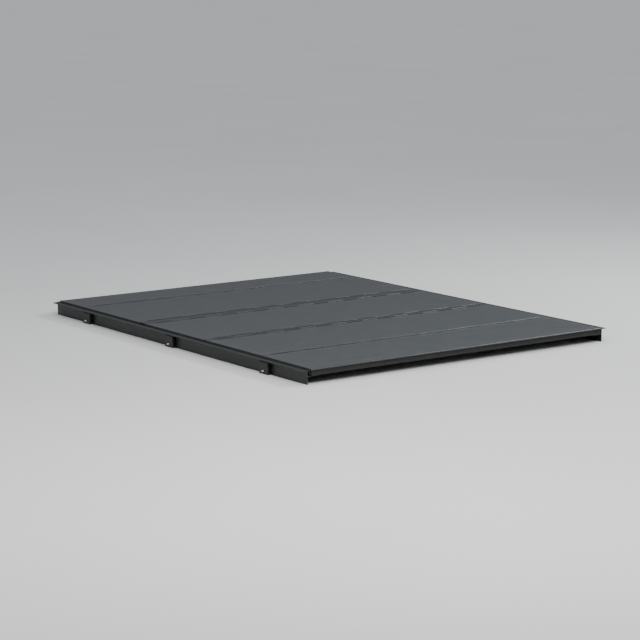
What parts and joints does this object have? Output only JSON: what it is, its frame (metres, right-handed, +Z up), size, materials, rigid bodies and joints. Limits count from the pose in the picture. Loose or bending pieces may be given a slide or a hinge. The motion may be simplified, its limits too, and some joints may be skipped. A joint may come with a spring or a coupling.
{
  "type": "tonneau cover",
  "caption": "Hard folding tonneau cover for a full-size pickup bed, with hinged panels, side rails, clamps, seals, slide bolts and prop rods.",
  "frame": {"origin": "middle of the cover, level with the lower edge of the side rails", "axes": "+X to the truck's right, +Y to the cab, +Z up"},
  "size_m": [1.676, 2.087, 0.0708],
  "materials": {
    "panel_skin": "satin",
    "panel_frame": "satin",
    "hinge_bar": "satin",
    "under_skin": "matte",
    "core": "matte",
    "hinge_pin": "satin",
    "rail": "satin",
    "end_cap": "matte",
    "seal": "matte",
    "clamp_jaw": "satin",
    "fastener": "satin",
    "latch_housing": "matte",
    "latch_bolt": "satin",
    "prop_rod": "satin",
    "moulded_nylon": "matte",
    "spacer": "matte"
  },
  "bodies": {
    "rails": {"side_rail_right": "rail", "side_rail_left": "rail", "rail_end_caps": "end_cap", "side_seals": "seal", "bulkhead_seal": "seal", "prop_rod_cradles": "moulded_nylon", "front_panel_bolts": "fastener", "front_panel_spacers": "spacer", "drain_spouts": "moulded_nylon", "front_seam_hinge_pin": "hinge_pin", "panel_1_frame": "panel_frame", "panel_1_top_skin": "panel_skin", "panel_1_bottom_skin": "under_skin", "panel_1_core": "core"},
    "panel_2": {"panel_2_frame": "panel_frame", "panel_2_top_skin": "panel_skin", "panel_2_bottom_skin": "under_skin", "panel_2_core": "core", "prop_rod_brackets": "fastener", "prop_rod_clips": "moulded_nylon"},
    "wide_bar": {"wide_hinge_bar": "hinge_bar", "wide_bar_hinge_pins": "hinge_pin"},
    "panel_3": {"panel_3_frame": "panel_frame", "panel_3_top_skin": "panel_skin", "panel_3_bottom_skin": "under_skin", "panel_3_core": "core", "panel_3_latch_housings": "latch_housing"},
    "narrow_bar": {"narrow_hinge_bar": "hinge_bar", "narrow_bar_hinge_pins": "hinge_pin"},
    "panel_4": {"panel_4_frame": "panel_frame", "panel_4_top_skin": "panel_skin", "panel_4_bottom_skin": "under_skin", "panel_4_core": "core", "rear_seam_hinge_pin": "hinge_pin"},
    "panel_5": {"panel_5_frame": "panel_frame", "panel_5_top_skin": "panel_skin", "panel_5_bottom_skin": "under_skin", "panel_5_core": "core", "panel_5_latch_housings": "latch_housing", "tailgate_seal": "seal"},
    "latch_bolt_5_right": {"panel_5_latch_bolt_right": "latch_bolt"},
    "latch_bolt_5_left": {"panel_5_latch_bolt_left": "latch_bolt"},
    "latch_bolt_3_right": {"panel_3_latch_bolt_right": "latch_bolt"},
    "latch_bolt_3_left": {"panel_3_latch_bolt_left": "latch_bolt"},
    "prop_rod_right": {"prop_rod_right": "prop_rod", "prop_rod_foot_right": "fastener"},
    "prop_rod_left": {"prop_rod_left": "prop_rod", "prop_rod_foot_left": "fastener"},
    "clamp_bolt_rear_right": {"clamp_bolt_rear_right": "fastener"},
    "clamp_jaw_rear_right": {"clamp_jaw_rear_right": "clamp_jaw"},
    "clamp_bolt_rear_left": {"clamp_bolt_rear_left": "fastener"},
    "clamp_jaw_rear_left": {"clamp_jaw_rear_left": "clamp_jaw"},
    "clamp_bolt_middle_right": {"clamp_bolt_middle_right": "fastener"},
    "clamp_jaw_middle_right": {"clamp_jaw_middle_right": "clamp_jaw"},
    "clamp_bolt_middle_left": {"clamp_bolt_middle_left": "fastener"},
    "clamp_jaw_middle_left": {"clamp_jaw_middle_left": "clamp_jaw"},
    "clamp_bolt_front_right": {"clamp_bolt_front_right": "fastener"},
    "clamp_jaw_front_right": {"clamp_jaw_front_right": "clamp_jaw"},
    "clamp_bolt_front_left": {"clamp_bolt_front_left": "fastener"},
    "clamp_jaw_front_left": {"clamp_jaw_front_left": "clamp_jaw"}
  },
  "joints": [
    {"name": "front_seam_fold", "type": "hinge", "parent": "rails", "child": "panel_2", "pos_m": [0, 0.7975, 0.0666], "axis": [-1, 0, 0], "range_deg": [0, 90]},
    {"name": "wide_bar_front_fold", "type": "hinge", "parent": "panel_2", "child": "wide_bar", "pos_m": [0, 0.3015, 0.0666], "axis": [-1, 0, 0], "range_deg": [0, 90]},
    {"name": "wide_bar_rear_fold", "type": "hinge", "parent": "wide_bar", "child": "panel_3", "pos_m": [0, 0.2355, 0.0666], "axis": [-1, 0, 0], "range_deg": [0, 90]},
    {"name": "narrow_bar_front_fold", "type": "hinge", "parent": "panel_3", "child": "narrow_bar", "pos_m": [0, -0.2345, 0.0666], "axis": [-1, 0, 0], "range_deg": [0, 90]},
    {"name": "narrow_bar_rear_fold", "type": "hinge", "parent": "narrow_bar", "child": "panel_4", "pos_m": [0, -0.2685, 0.0666], "axis": [-1, 0, 0], "range_deg": [0, 90]},
    {"name": "rear_seam_fold", "type": "hinge", "parent": "panel_4", "child": "panel_5", "pos_m": [0, -0.6875, 0.0666], "axis": [-1, 0, 0], "range_deg": [0, 180]},
    {"name": "panel_5_latch_right", "type": "slide", "parent": "panel_5", "child": "latch_bolt_5_right", "axis": [1, 0, 0], "range_m": [0, 0.009]},
    {"name": "panel_5_latch_left", "type": "slide", "parent": "panel_5", "child": "latch_bolt_5_left", "axis": [-1, 0, 0], "range_m": [0, 0.009]},
    {"name": "panel_3_latch_right", "type": "slide", "parent": "panel_3", "child": "latch_bolt_3_right", "axis": [1, 0, 0], "range_m": [0, 0.009]},
    {"name": "panel_3_latch_left", "type": "slide", "parent": "panel_3", "child": "latch_bolt_3_left", "axis": [-1, 0, 0], "range_m": [0, 0.009]},
    {"name": "prop_rod_right_swing", "type": "hinge", "parent": "panel_2", "child": "prop_rod_right", "pos_m": [0.737, 0.6975, 0.033], "axis": [1, 0, 0], "range_deg": [0, 110.26]},
    {"name": "prop_rod_left_swing", "type": "hinge", "parent": "panel_2", "child": "prop_rod_left", "pos_m": [-0.737, 0.6975, 0.033], "axis": [1, 0, 0], "range_deg": [0, 110.26]},
    {"name": "clamp_bolt_rear_right_turn", "type": "hinge", "parent": "rails", "child": "clamp_bolt_rear_right", "pos_m": [0.805, -0.7435, 0.014], "axis": [-1, 0, 0], "range_deg": [0, 2310]},
    {"name": "clamp_jaw_rear_right_slide", "type": "slide", "parent": "rails", "child": "clamp_jaw_rear_right", "axis": [1, 0, 0], "range_m": [0, 0.008]},
    {"name": "clamp_bolt_rear_left_turn", "type": "hinge", "parent": "rails", "child": "clamp_bolt_rear_left", "pos_m": [-0.805, -0.7435, 0.014], "axis": [1, 0, 0], "range_deg": [0, 2310]},
    {"name": "clamp_jaw_rear_left_slide", "type": "slide", "parent": "rails", "child": "clamp_jaw_rear_left", "axis": [-1, 0, 0], "range_m": [0, 0.008]},
    {"name": "clamp_bolt_middle_right_turn", "type": "hinge", "parent": "rails", "child": "clamp_bolt_middle_right", "pos_m": [0.805, -0.0035, 0.014], "axis": [-1, 0, 0], "range_deg": [0, 2310]},
    {"name": "clamp_jaw_middle_right_slide", "type": "slide", "parent": "rails", "child": "clamp_jaw_middle_right", "axis": [1, 0, 0], "range_m": [0, 0.008]},
    {"name": "clamp_bolt_middle_left_turn", "type": "hinge", "parent": "rails", "child": "clamp_bolt_middle_left", "pos_m": [-0.805, -0.0035, 0.014], "axis": [1, 0, 0], "range_deg": [0, 2310]},
    {"name": "clamp_jaw_middle_left_slide", "type": "slide", "parent": "rails", "child": "clamp_jaw_middle_left", "axis": [-1, 0, 0], "range_m": [0, 0.008]},
    {"name": "clamp_bolt_front_right_turn", "type": "hinge", "parent": "rails", "child": "clamp_bolt_front_right", "pos_m": [0.805, 0.7265, 0.014], "axis": [-1, 0, 0], "range_deg": [0, 2310]},
    {"name": "clamp_jaw_front_right_slide", "type": "slide", "parent": "rails", "child": "clamp_jaw_front_right", "axis": [1, 0, 0], "range_m": [0, 0.008]},
    {"name": "clamp_bolt_front_left_turn", "type": "hinge", "parent": "rails", "child": "clamp_bolt_front_left", "pos_m": [-0.805, 0.7265, 0.014], "axis": [1, 0, 0], "range_deg": [0, 2310]},
    {"name": "clamp_jaw_front_left_slide", "type": "slide", "parent": "rails", "child": "clamp_jaw_front_left", "axis": [-1, 0, 0], "range_m": [0, 0.008]}
  ],
  "couplings": [
    {"joint": "clamp_bolt_rear_right_turn", "follows": "clamp_jaw_rear_right_slide", "rad_per_m": 5026.5},
    {"joint": "clamp_bolt_rear_left_turn", "follows": "clamp_jaw_rear_left_slide", "rad_per_m": 5026.5},
    {"joint": "clamp_bolt_middle_right_turn", "follows": "clamp_jaw_middle_right_slide", "rad_per_m": 5026.5},
    {"joint": "clamp_bolt_middle_left_turn", "follows": "clamp_jaw_middle_left_slide", "rad_per_m": 5026.5},
    {"joint": "clamp_bolt_front_right_turn", "follows": "clamp_jaw_front_right_slide", "rad_per_m": 5026.5},
    {"joint": "clamp_bolt_front_left_turn", "follows": "clamp_jaw_front_left_slide", "rad_per_m": 5026.5}
  ]
}
